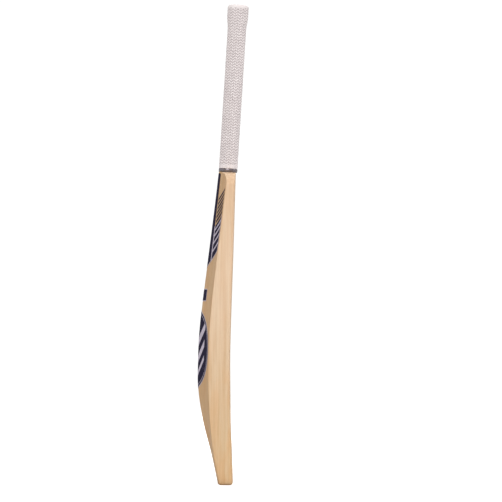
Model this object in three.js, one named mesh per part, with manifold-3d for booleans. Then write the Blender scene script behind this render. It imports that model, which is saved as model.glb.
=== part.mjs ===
// Cricket bat: a willow blade with a laminated cane handle spliced into it, bound with twine and
// covered by a rubber grip, with printed labels on the back.
// The bat stands on its toe. +Z runs up the bat, the playing face looks towards -Y and the spine
// towards +Y. The origin is the middle of the flat end of the toe. Sizes are millimetres.
import * as THREE from "three";
import { mergeVertices } from "three/addons/utils/BufferGeometryUtils.js";
import Module from "manifold-3d";

const wasm = await Module();
wasm.setup();

// Handle.
const HANDLE_RADIUS = 13.8;
const HANDLE_LENGTH = 296; // cane above the blade
const HANDLE_END_CHAMFER = 3;
const HANDLE_TILT = THREE.MathUtils.degToRad(3.1); // lean towards the face
const HANDLE_SEAT = 0.1; // y of the handle's axis at the top of the blade
const SPLICE_DEPTH = 135; // how far the wedge of the handle runs down into the blade
const SPLICE_TIP_WIDTH = 5;
const SPLICE_PARALLEL = 4; // length at the top of the splice that isn't tapered
const SPRING_THICKNESS = 1.5; // each rubber strip between the slabs of cane
const SLAB_COUNT = 4;
const GLUE_GAP = 0.3;

// Blade.
const BLADE_LENGTH = 559;
const BLADE_WIDTH = 108;
const SWELL_HEIGHT = 225; // height of the thickest section above the toe
const FACE_CROWN = 1.2; // how far the face falls back at its edges
const SPINE_RADIUS = 7; // roundness of the ridge down the back
const BACK_CONCAVITY = 1.25; // 1 is a flat slope from ridge to edge, more is hollowed out
const FACE_EDGE_RADIUS = 4;
const BACK_EDGE_RADIUS = 2.5;
const TOE_CORNER_RADIUS = 12;
const TOE_FACE_ROUNDING = 5;
const TOE_BACK_ROUNDING = 2;
const SHOULDER_DROP = 25; // height over which the shoulders turn down into the edges
const NECK_WALL = 3.2; // willow left on each side of the splice where the handle leaves the blade
const NECK_COVER = 3; // how much deeper than the handle the neck is, face to back
const NECK_FACE_RADIUS = 12;
const NECK_BACK_RADIUS = 10;

// Sections of the blade: bow is how far the middle of the face lies behind the straight line from
// toe to shoulder, depth is face to ridge, edge is face to the back corner of the edge.
// The first list runs from the toe up to the swell and the second from the swell up to the
// shoulder, each at its way along that stretch.
const LOWER_SECTIONS = [
  { way: 0, bow: -0.3, depth: 27.4, edge: 24.2 },
  { way: 0.24, bow: 1.9, depth: 37.2, edge: 33.1 },
  { way: 0.5, bow: 4.6, depth: 49.8, edge: 37.5 },
  { way: 0.76, bow: 5.9, depth: 57.9, edge: 39.3 },
];
const UPPER_SECTIONS = [
  { way: 0, bow: 6.7, depth: 57.6, edge: 39.1 },
  { way: 0.135, bow: 6.2, depth: 56.4, edge: 38.5 },
  { way: 0.305, bow: 4.9, depth: 52.2, edge: 35.6 },
  { way: 0.565, bow: 2.6, depth: 44.1, edge: 28.4 },
  { way: 0.82, bow: 0.8, depth: 35.8, edge: 20.2 },
  { way: 1, bow: -0.5, depth: 2 * HANDLE_RADIUS + NECK_COVER, edge: 14.5 },
];

// Coverings of the handle.
const TWINE_WALL = 0.7;
const TWINE_TOP_MARGIN = 4; // bare cane above the binding
const GRIP_WALL = 1.7;
const COLLAR_HEIGHT = 6.5;
const COLLAR_WALL = 1.8;
const COLLAR_ROUNDING = 0.7;
const KNOB_SWELL = 2.2; // how far the thickened top end stands out from the rest of the grip
const KNOB_LENGTH = 44;
const KNOB_END_THICKNESS = 5;
const KNOB_HOLE_RADIUS = 4;
const KNOB_CORNER_RADIUS = 6;

// Labels on the back of the blade.
const LABEL_GAP = 0.3;
const LABEL_THICKNESS = 0.3;
const CHEVRON_LABEL_TOP_MARGIN = 1.5; // bare wood between the label and the handle
const CHEVRON_LABEL_LENGTH = 171.5;
const CHEVRON_LABEL_EDGE_MARGIN = 3.5; // bare wood beside the label
const CHEVRON_LABEL_NECK_HALF_WIDTH = 12;
const CHEVRON_LABEL_NECK_DROP = 28;
const CHEVRON_ANGLE = THREE.MathUtils.degToRad(33);
const BAR_LABEL_WIDTH = 42;
const BAR_LABEL_HEIGHT = 22;
const BAR_LABEL_SPACING = 36; // from the point of the chevron label down to the bar label
const LEAF_LABEL_LENGTH = 140.5;
const LEAF_LABEL_EDGE_MARGIN = 3.5;
const LEAF_LABEL_SPACING = 16.5; // from the bar label down to the point of the leaf label
const LABEL_BACK_START = -3; // y between the face and the back, where the labels' cutters begin

// Fineness of the surfaces.
const ROUND_STEPS = 40;
const FACE_STEPS = 3;
const CORNER_STEPS = 3;
const BACK_STEPS = 8;
const RIDGE_CROWDING = 1.3; // above 1 the points lie closer together near the ridge
const TOE_STEPS = 6;
const SHOULDER_STEPS = 7;
const SECTION_SPACING = 22;
const KNOB_STEPS = 7;
const LEAF_STEPS = 12;
const NECK_OVERRUN = 2; // length of neck above the shoulders that the handle's seat is cut from

const TWINE_RADIUS = HANDLE_RADIUS + GLUE_GAP + TWINE_WALL;
const SLEEVE_INNER_RADIUS = TWINE_RADIUS + GLUE_GAP;
const GRIP_RADIUS = SLEEVE_INNER_RADIUS + GRIP_WALL;
const GRIP_START = GLUE_GAP + COLLAR_HEIGHT + GLUE_GAP;
const GRIP_TOP = HANDLE_LENGTH + GLUE_GAP + KNOB_END_THICKNESS;
const KNOB_RADIUS = GRIP_RADIUS + KNOB_SWELL;
const NECK_WIDTH = 2 * (HANDLE_RADIUS + GLUE_GAP + NECK_WALL);
const CHEVRON_LABEL_TOP = BLADE_LENGTH - CHEVRON_LABEL_TOP_MARGIN;
const CHEVRON_LABEL_BOTTOM = CHEVRON_LABEL_TOP - CHEVRON_LABEL_LENGTH;
const BAR_LABEL_TOP = CHEVRON_LABEL_BOTTOM - BAR_LABEL_SPACING;
const LEAF_LABEL_TOP = BAR_LABEL_TOP - BAR_LABEL_HEIGHT - LEAF_LABEL_SPACING;
const FACE_LINE = -LOWER_SECTIONS[0].depth / 2; // y of the straight line along the face
const REACH = 2 * BLADE_WIDTH; // clear of the bat on every side

// Solids and surfaces.

function solidFrom(geometry) {
  const shell = geometry.clone();
  shell.deleteAttribute("normal");
  shell.deleteAttribute("uv");
  const merged = mergeVertices(shell, 1e-4);
  return new wasm.Manifold(
    new wasm.Mesh({
      numProp: 3,
      vertProperties: merged.attributes.position.array,
      triVerts: new Uint32Array(merged.index.array),
    }),
  );
}

function geometryFrom(solid) {
  const mesh = solid.getMesh();
  const geometry = new THREE.BufferGeometry();
  geometry.setAttribute("position", new THREE.BufferAttribute(mesh.vertProperties, mesh.numProp));
  geometry.setIndex(new THREE.BufferAttribute(mesh.triVerts, 1));
  geometry.computeVertexNormals();
  return geometry;
}

// A closed skin through level sections that hold the same number of points, with a flat cap at
// each end that fans out from a point on the middle line.
function loft(sections) {
  const count = sections[0].length;
  const points = sections.flat();
  const index = [];
  for (let level = 0; level + 1 < sections.length; level += 1) {
    const low = level * count;
    const high = low + count;
    for (let i = 0; i < count; i += 1) {
      const j = (i + 1) % count;
      index.push(low + i, low + j, high + j);
      index.push(low + i, high + j, high + i);
    }
  }
  const bottom = points.length;
  const top = bottom + 1;
  const last = points.length - count;
  points.push(sectionMiddle(sections[0]), sectionMiddle(sections[sections.length - 1]));
  for (let i = 0; i < count; i += 1) {
    const j = (i + 1) % count;
    index.push(bottom, j, i);
    index.push(top, last + i, last + j);
  }
  const geometry = new THREE.BufferGeometry().setFromPoints(points);
  geometry.setIndex(index);
  return geometry;
}

function sectionMiddle(section) {
  const box = new THREE.Box3().setFromPoints(section);
  return box.getCenter(new THREE.Vector3());
}

// A flat outline in X and Z, extruded along Y from yLow to yHigh.
function plateFrom(outline, yLow, yHigh) {
  const shape = new THREE.Shape(outline);
  const geometry = new THREE.ExtrudeGeometry(shape, { depth: yHigh - yLow, bevelEnabled: false });
  geometry.rotateX(Math.PI / 2);
  geometry.translate(0, yHigh, 0);
  return geometry;
}

function boxBetween(low, high) {
  const size = new THREE.Vector3().subVectors(high, low);
  const centre = new THREE.Vector3().addVectors(low, high).multiplyScalar(0.5);
  return new THREE.BoxGeometry(size.x, size.y, size.z).translate(centre.x, centre.y, centre.z);
}

// Blade.

const BLADE_SECTIONS = [
  ...LOWER_SECTIONS.map((s) => ({ ...s, height: s.way * SWELL_HEIGHT })),
  ...UPPER_SECTIONS.map((s) => ({ ...s, height: THREE.MathUtils.lerp(SWELL_HEIGHT, BLADE_LENGTH, s.way) })),
];

function slopeAt(i, key) {
  const before = BLADE_SECTIONS[Math.max(i - 1, 0)];
  const after = BLADE_SECTIONS[Math.min(i + 1, BLADE_SECTIONS.length - 1)];
  return (after[key] - before[key]) / (after.height - before.height);
}

// A smooth value between the hand-set sections, at a height above the toe.
function bladeValue(key, height) {
  const next = BLADE_SECTIONS.findIndex((s) => s.height > height);
  const i = next < 0 ? BLADE_SECTIONS.length - 2 : next - 1;
  const a = BLADE_SECTIONS[i];
  const b = BLADE_SECTIONS[i + 1];
  const span = b.height - a.height;
  const t = (height - a.height) / span;
  const rest = 1 - t;
  const leaving = slopeAt(i, key) * span * t * rest * rest;
  const arriving = slopeAt(i + 1, key) * span * t * t * rest;
  return a[key] * rest * rest * (1 + 2 * t) + b[key] * t * t * (3 - 2 * t) + leaving - arriving;
}

// Half the width of the blade at a height: round corners at the toe, and shoulders that fall away
// from the neck as a quarter of an ellipse.
function halfWidthAt(height) {
  const full = BLADE_WIDTH / 2;
  const neck = NECK_WIDTH / 2;
  if (height < TOE_CORNER_RADIUS) {
    const rise = (TOE_CORNER_RADIUS - height) / TOE_CORNER_RADIUS;
    return full - TOE_CORNER_RADIUS * (1 - Math.sqrt(1 - rise * rise));
  }
  const shoulder = BLADE_LENGTH - SHOULDER_DROP;
  if (height > shoulder) {
    const rise = Math.min((height - shoulder) / SHOULDER_DROP, 1);
    return neck + (full - neck) * Math.sqrt(1 - rise * rise);
  }
  return full;
}

// How far a rounded edge of the toe has drawn in at a height.
function roundingAt(height, radius) {
  if (height >= radius) {
    return 0;
  }
  const rise = (radius - height) / radius;
  return radius * (1 - Math.sqrt(1 - rise * rise));
}

function ridge(x) {
  return Math.hypot(x, SPINE_RADIUS) - SPINE_RADIUS;
}

function faceY(x, height) {
  const across = x / (BLADE_WIDTH / 2);
  return FACE_LINE + bladeValue("bow", height) + FACE_CROWN * across * across;
}

function backY(x, height) {
  const fall = Math.min(ridge(x) / ridge(BLADE_WIDTH / 2), 1);
  const edge = bladeValue("edge", height);
  const rise = (bladeValue("depth", height) - edge) * (1 - fall) ** BACK_CONCAVITY;
  return FACE_LINE + bladeValue("bow", height) + edge + rise;
}

// One level section of the blade, anticlockwise from above, starting in the middle of the face.
// Outset moves the skin outwards all round.
function bladeSection(height, outset) {
  const half = halfWidthAt(height);
  const full = BLADE_WIDTH / 2;
  const neckShare = height > SWELL_HEIGHT ? (full - half) / (full - NECK_WIDTH / 2) : 0;
  const faceRadius = THREE.MathUtils.lerp(FACE_EDGE_RADIUS, NECK_FACE_RADIUS, neckShare);
  const backRadius = THREE.MathUtils.lerp(BACK_EDGE_RADIUS, NECK_BACK_RADIUS, neckShare);
  const faceIn = roundingAt(height, TOE_FACE_ROUNDING);
  const backIn = roundingAt(height, TOE_BACK_ROUNDING);
  const right = [];
  const add = (x, y) => right.push(new THREE.Vector2(x, y));
  const faceInner = half - faceRadius;
  for (let i = 0; i < FACE_STEPS; i += 1) {
    const x = (faceInner * i) / FACE_STEPS;
    add(x, faceY(x, height) + faceIn - outset);
  }
  const faceCorner = faceY(faceInner, height) + faceIn + faceRadius;
  for (let i = 0; i <= CORNER_STEPS; i += 1) {
    const turn = (i / CORNER_STEPS) * (Math.PI / 2);
    const reach = faceRadius + outset;
    add(faceInner + reach * Math.sin(turn), faceCorner - reach * Math.cos(turn));
  }
  const backInner = half - backRadius;
  const backCorner = backY(backInner, height) - backIn - backRadius;
  for (let i = 0; i <= CORNER_STEPS; i += 1) {
    const turn = (i / CORNER_STEPS) * (Math.PI / 2);
    const reach = backRadius + outset;
    add(backInner + reach * Math.cos(turn), backCorner + reach * Math.sin(turn));
  }
  for (let i = 1; i <= BACK_STEPS; i += 1) {
    const x = backInner * (1 - i / BACK_STEPS) ** RIDGE_CROWDING;
    add(x, backY(x, height) - backIn + outset);
  }
  const left = right.slice(1, -1).reverse().map((p) => new THREE.Vector2(-p.x, p.y));
  return [...right, ...left].map((p) => new THREE.Vector3(p.x, p.y, height));
}

// Heights of the sections: close together round the corners of the toe and the shoulders.
function sectionHeights() {
  const heights = [];
  for (let i = 0; i <= TOE_STEPS; i += 1) {
    heights.push(TOE_CORNER_RADIUS * (1 - Math.cos((i / TOE_STEPS) * (Math.PI / 2))));
  }
  const shoulder = BLADE_LENGTH - SHOULDER_DROP;
  const plain = Math.ceil((shoulder - TOE_CORNER_RADIUS) / SECTION_SPACING);
  for (let i = 1; i <= plain; i += 1) {
    heights.push(THREE.MathUtils.lerp(TOE_CORNER_RADIUS, shoulder, i / plain));
  }
  for (let i = 1; i <= SHOULDER_STEPS; i += 1) {
    heights.push(shoulder + SHOULDER_DROP * Math.sin((i / SHOULDER_STEPS) * (Math.PI / 2)));
  }
  heights.push(BLADE_LENGTH + NECK_OVERRUN);
  return heights;
}

// The handle's own frame: its origin on the axis where the cane leaves the blade, +Z up the cane.
const handle = new THREE.Group();
handle.position.set(0, HANDLE_SEAT, BLADE_LENGTH);
handle.rotation.x = HANDLE_TILT;
handle.updateMatrixWorld();

function inBatFrame(geometry) {
  return geometry.clone().applyMatrix4(handle.matrixWorld);
}

function inHandleFrame(geometry) {
  return geometry.clone().applyMatrix4(handle.matrixWorld.clone().invert());
}

// The carved outside of the blade with the splice still in it, cut off square to the handle.
function bladeEnvelope(outset) {
  const skin = solidFrom(loft(sectionHeights().map((height) => bladeSection(height, outset))));
  const low = new THREE.Vector3(-REACH, -REACH, 0);
  const high = new THREE.Vector3(REACH, REACH, REACH);
  return skin.subtract(solidFrom(inBatFrame(boxBetween(low, high))));
}

// An outline that is the same on both sides of X = 0, from the points of its right side.
function mirrored(right) {
  const left = right.map((p) => new THREE.Vector2(-p.x, p.y)).reverse();
  return [...right, ...left];
}

// The splice in the handle's frame, front to back through everything: parallel at the top, then a
// narrow V. It ends a little above the blade.
function splicePlate(clearance) {
  const half = HANDLE_RADIUS + clearance;
  const outline = mirrored([
    new THREE.Vector2(SPLICE_TIP_WIDTH / 2 + clearance, -SPLICE_DEPTH - clearance),
    new THREE.Vector2(half, -SPLICE_PARALLEL),
    new THREE.Vector2(half, NECK_OVERRUN),
  ]);
  return plateFrom(outline, -REACH, REACH);
}

function makeBlade() {
  const slot = solidFrom(inBatFrame(splicePlate(GLUE_GAP)));
  return geometryFrom(bladeEnvelope(0).subtract(slot));
}

// Cane handle.

// The whole handle in its own frame: a turned stick on a wedge that is flush with the blade.
function handleBlank() {
  const envelope = solidFrom(inHandleFrame(geometryFrom(bladeEnvelope(0))));
  const wedge = solidFrom(splicePlate(0)).intersect(envelope);
  const foot = -SPLICE_PARALLEL / 2;
  const profile = [
    new THREE.Vector2(0, foot),
    new THREE.Vector2(HANDLE_RADIUS, foot),
    new THREE.Vector2(HANDLE_RADIUS, HANDLE_LENGTH - HANDLE_END_CHAMFER),
    new THREE.Vector2(HANDLE_RADIUS - HANDLE_END_CHAMFER, HANDLE_LENGTH),
    new THREE.Vector2(0, HANDLE_LENGTH),
  ];
  return wedge.add(solidFrom(turned(profile)));
}

// A shape turned about the handle's axis, from a profile of radius and height.
function turned(profile) {
  return new THREE.LatheGeometry(profile, ROUND_STEPS).rotateX(Math.PI / 2);
}

// A box through the whole length of the handle.
function layerSolid(xLow, xHigh, yLow, yHigh) {
  const low = new THREE.Vector3(xLow, yLow, -REACH);
  const high = new THREE.Vector3(xHigh, yHigh, HANDLE_LENGTH + REACH);
  return solidFrom(boxBetween(low, high));
}

// Slabs of cane lie parallel to the face with a rubber strip between each two, and each slab is
// three canes side by side. The outer canes run out to the skin of the blade in the splice.
const SPRING_COUNT = SLAB_COUNT - 1;
const STRIP_PITCH = SPRING_THICKNESS + 2 * GLUE_GAP;
const SLAB_THICKNESS = (2 * HANDLE_RADIUS - SPRING_COUNT * STRIP_PITCH) / SLAB_COUNT;
const CANE_WIDTH = (2 * HANDLE_RADIUS - 2 * GLUE_GAP) / 3;
const SLAB_NAMES = ["face", "front", "rear", "back"];
const SPRING_NAMES = ["front", "middle", "rear"];
const CANE_COLUMNS = [
  { name: "left", low: -REACH, high: -CANE_WIDTH / 2 - GLUE_GAP },
  { name: "centre", low: -CANE_WIDTH / 2, high: CANE_WIDTH / 2 },
  { name: "right", low: CANE_WIDTH / 2 + GLUE_GAP, high: REACH },
];

function slabStart(slab) {
  return -HANDLE_RADIUS + slab * (SLAB_THICKNESS + STRIP_PITCH);
}

function makeCane(blank, slab, column) {
  const start = slabStart(slab);
  const yLow = slab === 0 ? -REACH : start;
  const yHigh = slab === SLAB_COUNT - 1 ? REACH : start + SLAB_THICKNESS;
  return geometryFrom(blank.intersect(layerSolid(column.low, column.high, yLow, yHigh)));
}

function makeSpring(blank, spring) {
  const yLow = slabStart(spring) + SLAB_THICKNESS + GLUE_GAP;
  return geometryFrom(blank.intersect(layerSolid(-REACH, REACH, yLow, yLow + SPRING_THICKNESS)));
}

// Coverings of the handle: sleeves one over the other.

function makeTwine() {
  const inner = HANDLE_RADIUS + GLUE_GAP;
  const top = HANDLE_LENGTH - TWINE_TOP_MARGIN;
  const profile = [
    new THREE.Vector2(inner, GLUE_GAP),
    new THREE.Vector2(TWINE_RADIUS, GLUE_GAP),
    new THREE.Vector2(TWINE_RADIUS, top),
    new THREE.Vector2(inner, top),
    new THREE.Vector2(inner, GLUE_GAP),
  ];
  return turned(profile);
}

function makeCollar() {
  const outer = SLEEVE_INNER_RADIUS + COLLAR_WALL;
  const low = GLUE_GAP;
  const high = GLUE_GAP + COLLAR_HEIGHT;
  const profile = [
    new THREE.Vector2(SLEEVE_INNER_RADIUS, low),
    new THREE.Vector2(outer - COLLAR_ROUNDING, low),
    new THREE.Vector2(outer, low + COLLAR_ROUNDING),
    new THREE.Vector2(outer, high - COLLAR_ROUNDING),
    new THREE.Vector2(outer - COLLAR_ROUNDING, high),
    new THREE.Vector2(SLEEVE_INNER_RADIUS, high),
    new THREE.Vector2(SLEEVE_INNER_RADIUS, low),
  ];
  return turned(profile);
}

// The grip is one rubber sleeve, thicker at its top end, which folds in over the end of the cane
// and leaves a small round hole.
function makeGrip() {
  const swellStart = GRIP_TOP - KNOB_LENGTH;
  const fullest = GRIP_TOP - KNOB_LENGTH / 2;
  const halfwayOut = (swellStart + fullest) / 2;
  const outline = new THREE.Path();
  outline.moveTo(SLEEVE_INNER_RADIUS, GRIP_START);
  outline.lineTo(GRIP_RADIUS, GRIP_START);
  outline.lineTo(GRIP_RADIUS, swellStart);
  outline.bezierCurveTo(GRIP_RADIUS, halfwayOut, KNOB_RADIUS, halfwayOut, KNOB_RADIUS, fullest);
  const corner = KNOB_CORNER_RADIUS;
  outline.absarc(KNOB_RADIUS - corner, GRIP_TOP - corner, corner, 0, Math.PI / 2, false);
  outline.lineTo(KNOB_HOLE_RADIUS, GRIP_TOP);
  outline.lineTo(KNOB_HOLE_RADIUS, HANDLE_LENGTH + GLUE_GAP);
  outline.lineTo(SLEEVE_INNER_RADIUS, HANDLE_LENGTH + GLUE_GAP);
  outline.lineTo(SLEEVE_INNER_RADIUS, GRIP_START);
  return turned(outline.getPoints(KNOB_STEPS));
}

// Labels: thin skins that follow the back of the blade.

function labelSkin() {
  return bladeEnvelope(LABEL_GAP + LABEL_THICKNESS).subtract(bladeEnvelope(LABEL_GAP));
}

function makeLabel(skin, outline) {
  return geometryFrom(skin.intersect(solidFrom(plateFrom(outline, LABEL_BACK_START, REACH))));
}

// Pointed at the bottom, where its edges rise from the ridge at the angle of its stripes, and
// drawn in at the top to follow the shoulders.
function chevronOutline() {
  const half = BLADE_WIDTH / 2 - CHEVRON_LABEL_EDGE_MARGIN;
  return [
    new THREE.Vector2(0, CHEVRON_LABEL_BOTTOM),
    ...mirrored([
      new THREE.Vector2(half, CHEVRON_LABEL_BOTTOM + half * Math.tan(CHEVRON_ANGLE)),
      new THREE.Vector2(half, CHEVRON_LABEL_TOP - CHEVRON_LABEL_NECK_DROP),
      new THREE.Vector2(CHEVRON_LABEL_NECK_HALF_WIDTH, CHEVRON_LABEL_TOP),
    ]),
  ];
}

function barOutline() {
  return mirrored([
    new THREE.Vector2(BAR_LABEL_WIDTH / 2, BAR_LABEL_TOP - BAR_LABEL_HEIGHT),
    new THREE.Vector2(BAR_LABEL_WIDTH / 2, BAR_LABEL_TOP),
  ]);
}

// Two arcs that meet in a point on the ridge at the top and the bottom.
function leafOutline() {
  const half = LEAF_LABEL_LENGTH / 2;
  const belly = BLADE_WIDTH / 2 - LEAF_LABEL_EDGE_MARGIN;
  const middle = LEAF_LABEL_TOP - half;
  const radius = (half * half + belly * belly) / (2 * belly);
  const sweep = Math.asin(half / radius);
  const right = [];
  for (let i = 0; i < LEAF_STEPS; i += 1) {
    const turn = THREE.MathUtils.lerp(-sweep, sweep, i / LEAF_STEPS);
    const x = belly - radius * (1 - Math.cos(turn));
    right.push(new THREE.Vector2(x, middle + radius * Math.sin(turn)));
  }
  const left = right.map((p) => new THREE.Vector2(-p.x, 2 * middle - p.y));
  return [...right, ...left];
}

// Materials.

function finish(colour, roughness, metalness) {
  return new THREE.MeshStandardMaterial({ color: colour, roughness, metalness });
}

const willow = finish(0xe3c6a0, 0.55, 0);
const cane = finish(0xcfa873, 0.6, 0);
const springRubber = finish(0x2b2a28, 0.9, 0);
const twineCotton = finish(0xd9cdb4, 0.9, 0);
const gripRubber = finish(0xe2dada, 0.75, 0);
const collarTape = finish(0x6b6468, 0.3, 0.4);
const labelInk = finish(0x2f2b4a, 0.4, 0);

// Assembly.

function addPiece(group, name, geometry, material) {
  const mesh = new THREE.Mesh(geometry, material);
  mesh.name = name;
  group.add(mesh);
}

const bat = new THREE.Group();
bat.add(handle);
addPiece(bat, "blade", makeBlade(), willow);

const blank = handleBlank();
SLAB_NAMES.forEach((slabName, slab) => {
  for (const column of CANE_COLUMNS) {
    addPiece(handle, `cane_${slabName}_${column.name}`, makeCane(blank, slab, column), cane);
  }
});
SPRING_NAMES.forEach((springName, spring) => {
  addPiece(handle, `spring_${springName}`, makeSpring(blank, spring), springRubber);
});
addPiece(handle, "twine_binding", makeTwine(), twineCotton);
addPiece(handle, "grip_collar", makeCollar(), collarTape);
addPiece(handle, "rubber_grip", makeGrip(), gripRubber);

const skin = labelSkin();
addPiece(bat, "label_chevron", makeLabel(skin, chevronOutline()), labelInk);
addPiece(bat, "label_bar", makeLabel(skin, barOutline()), labelInk);
addPiece(bat, "label_leaf", makeLabel(skin, leafOutline()), labelInk);

export default bat;
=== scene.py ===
import math

import bmesh
import bpy
from mathutils import Matrix, Vector


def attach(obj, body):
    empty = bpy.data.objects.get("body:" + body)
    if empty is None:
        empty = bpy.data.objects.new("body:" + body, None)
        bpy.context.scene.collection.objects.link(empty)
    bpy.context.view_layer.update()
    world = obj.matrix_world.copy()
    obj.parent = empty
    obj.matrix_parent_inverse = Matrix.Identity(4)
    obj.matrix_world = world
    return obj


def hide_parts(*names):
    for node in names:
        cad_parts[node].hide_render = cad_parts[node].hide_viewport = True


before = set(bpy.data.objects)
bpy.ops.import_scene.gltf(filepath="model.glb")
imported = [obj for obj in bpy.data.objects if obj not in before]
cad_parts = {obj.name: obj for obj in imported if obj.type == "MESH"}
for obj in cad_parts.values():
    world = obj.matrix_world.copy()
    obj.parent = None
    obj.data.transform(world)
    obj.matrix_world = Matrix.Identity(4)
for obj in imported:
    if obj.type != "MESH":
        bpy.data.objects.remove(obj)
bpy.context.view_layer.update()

# ---- Willow blade ----
# One cleft of white willow, pressed and planed: a bowed face, a swell and a ridge down the back.
# Its growth rings run from face to back, and a V is sawn out of its top to take the handle.
# Every size here is in millimetres, as in the part, and a finished mesh is brought down to metres.

MM = 0.001
BLADE_LENGTH = 559
BLADE_WIDTH = 108
SWELL_HEIGHT = 225
FACE_LINE = -13.7
FACE_CROWN = 1.2
SPINE_RADIUS = 7
BACK_CONCAVITY = 1.25
FACE_EDGE_RADIUS = 4
BACK_EDGE_RADIUS = 2.5
TOE_CORNER_RADIUS = 12
TOE_FACE_ROUNDING = 5
TOE_BACK_ROUNDING = 2
SHOULDER_DROP = 25
NECK_WIDTH = 34.6
NECK_FACE_RADIUS = 12
NECK_BACK_RADIUS = 10
NECK_OVERRUN = 2
# part of the way from the toe to the swell, bow of the face, face to ridge, and face to the back
# corner of the edge
LOWER_SECTIONS = (
    (0, -0.3, 27.4, 24.2),
    (0.24, 1.9, 37.2, 33.1),
    (0.5, 4.6, 49.8, 37.5),
    (0.76, 5.9, 57.9, 39.3),
)
# the same, from the swell to the top of the blade
UPPER_SECTIONS = (
    (0, 6.7, 57.6, 39.1),
    (0.135, 6.2, 56.4, 38.5),
    (0.305, 4.9, 52.2, 35.6),
    (0.565, 2.6, 44.1, 28.4),
    (0.82, 0.8, 35.8, 20.2),
    (1, -0.5, 30.6, 14.5),
)
UPPER_LENGTH = BLADE_LENGTH - SWELL_HEIGHT
BLADE_SECTIONS = [(SWELL_HEIGHT * way, *sizes) for way, *sizes in LOWER_SECTIONS]
BLADE_SECTIONS += [(SWELL_HEIGHT + UPPER_LENGTH * way, *sizes) for way, *sizes in UPPER_SECTIONS]
BOW, DEPTH, EDGE = 1, 2, 3

HANDLE_TILT = Matrix.Rotation(math.radians(3.1), 4, "X")
HANDLE_SETBACK = 0.1
HANDLE_PLACE = Matrix.Translation((0, HANDLE_SETBACK, BLADE_LENGTH)) @ HANDLE_TILT
HANDLE_RADIUS = 13.8
SPLICE_DEPTH = 135
SPLICE_TIP_WIDTH = 5
SPLICE_PARALLEL = 4
SAW_OVERRUN = 20
GLUE_GAP = 0.3


def section_slope(i, key):
    before = BLADE_SECTIONS[max(i - 1, 0)]
    after = BLADE_SECTIONS[min(i + 1, len(BLADE_SECTIONS) - 1)]
    return (after[key] - before[key]) / (after[0] - before[0])


def blade_value(key, height):
    """A smooth value between the sections of the blade, at a height above the toe."""
    below = sum(section[0] <= height for section in BLADE_SECTIONS) - 1
    i = min(max(below, 0), len(BLADE_SECTIONS) - 2)
    a, b = BLADE_SECTIONS[i], BLADE_SECTIONS[i + 1]
    span = b[0] - a[0]
    t = (height - a[0]) / span
    rest = 1 - t
    leaving = section_slope(i, key) * span * t * rest * rest
    arriving = section_slope(i + 1, key) * span * t * t * rest
    return a[key] * rest * rest * (1 + 2 * t) + b[key] * t * t * (3 - 2 * t) + leaving - arriving


def half_width(height):
    full, neck = BLADE_WIDTH / 2, NECK_WIDTH / 2
    if height < TOE_CORNER_RADIUS:
        rise = (TOE_CORNER_RADIUS - height) / TOE_CORNER_RADIUS
        return full - TOE_CORNER_RADIUS * (1 - math.sqrt(1 - rise * rise))
    shoulder = BLADE_LENGTH - SHOULDER_DROP
    if height > shoulder:
        rise = min((height - shoulder) / SHOULDER_DROP, 1)
        return neck + (full - neck) * math.sqrt(1 - rise * rise)
    return full


def toe_rounding(height, radius):
    if height >= radius:
        return 0
    rise = (radius - height) / radius
    return radius * (1 - math.sqrt(1 - rise * rise))


def ridge(x):
    return math.hypot(x, SPINE_RADIUS) - SPINE_RADIUS


def face_y(x, height):
    across = x / (BLADE_WIDTH / 2)
    return FACE_LINE + blade_value(BOW, height) + FACE_CROWN * across * across


def back_y(x, height):
    fall = min(ridge(x) / ridge(BLADE_WIDTH / 2), 1)
    edge = blade_value(EDGE, height)
    rise = (blade_value(DEPTH, height) - edge) * (1 - fall) ** BACK_CONCAVITY
    return FACE_LINE + blade_value(BOW, height) + edge + rise


FACE_STEPS = 9
CORNER_STEPS = 6
EDGE_STEPS = 4
BACK_STEPS = 24
BACK_CROWDING = 1.3  # brings the steps closer together towards the ridge


def blade_outline(height):
    """The level outline of the blade at a height, from the middle of the face round to it again."""
    half = half_width(height)
    full = BLADE_WIDTH / 2
    neck = (full - half) / (full - NECK_WIDTH / 2) if height > SWELL_HEIGHT else 0
    face_radius = FACE_EDGE_RADIUS + (NECK_FACE_RADIUS - FACE_EDGE_RADIUS) * neck
    back_radius = BACK_EDGE_RADIUS + (NECK_BACK_RADIUS - BACK_EDGE_RADIUS) * neck
    face_in = toe_rounding(height, TOE_FACE_ROUNDING)
    back_in = toe_rounding(height, TOE_BACK_ROUNDING)
    face_inner, back_inner = half - face_radius, half - back_radius
    face_corner = face_y(face_inner, height) + face_in + face_radius
    back_corner = back_y(back_inner, height) - back_in - back_radius
    right = []
    for i in range(FACE_STEPS):
        x = face_inner * i / FACE_STEPS
        right.append((x, face_y(x, height) + face_in))
    for i in range(CORNER_STEPS + 1):
        turn = math.pi / 2 * i / CORNER_STEPS
        x = face_inner + face_radius * math.sin(turn)
        right.append((x, face_corner - face_radius * math.cos(turn)))
    for i in range(1, EDGE_STEPS):
        right.append((half, face_corner + (back_corner - face_corner) * i / EDGE_STEPS))
    for i in range(CORNER_STEPS + 1):
        turn = math.pi / 2 * i / CORNER_STEPS
        x = back_inner + back_radius * math.cos(turn)
        right.append((x, back_corner + back_radius * math.sin(turn)))
    for i in range(1, BACK_STEPS + 1):
        x = back_inner * (1 - i / BACK_STEPS) ** BACK_CROWDING
        right.append((x, back_y(x, height) - back_in))
    left = [(-x, y) for x, y in right[-2:0:-1]]
    return right + left


TOE_STEPS = 10
SECTION_SPACING = 9
SHOULDER_STEPS = 16


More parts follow.
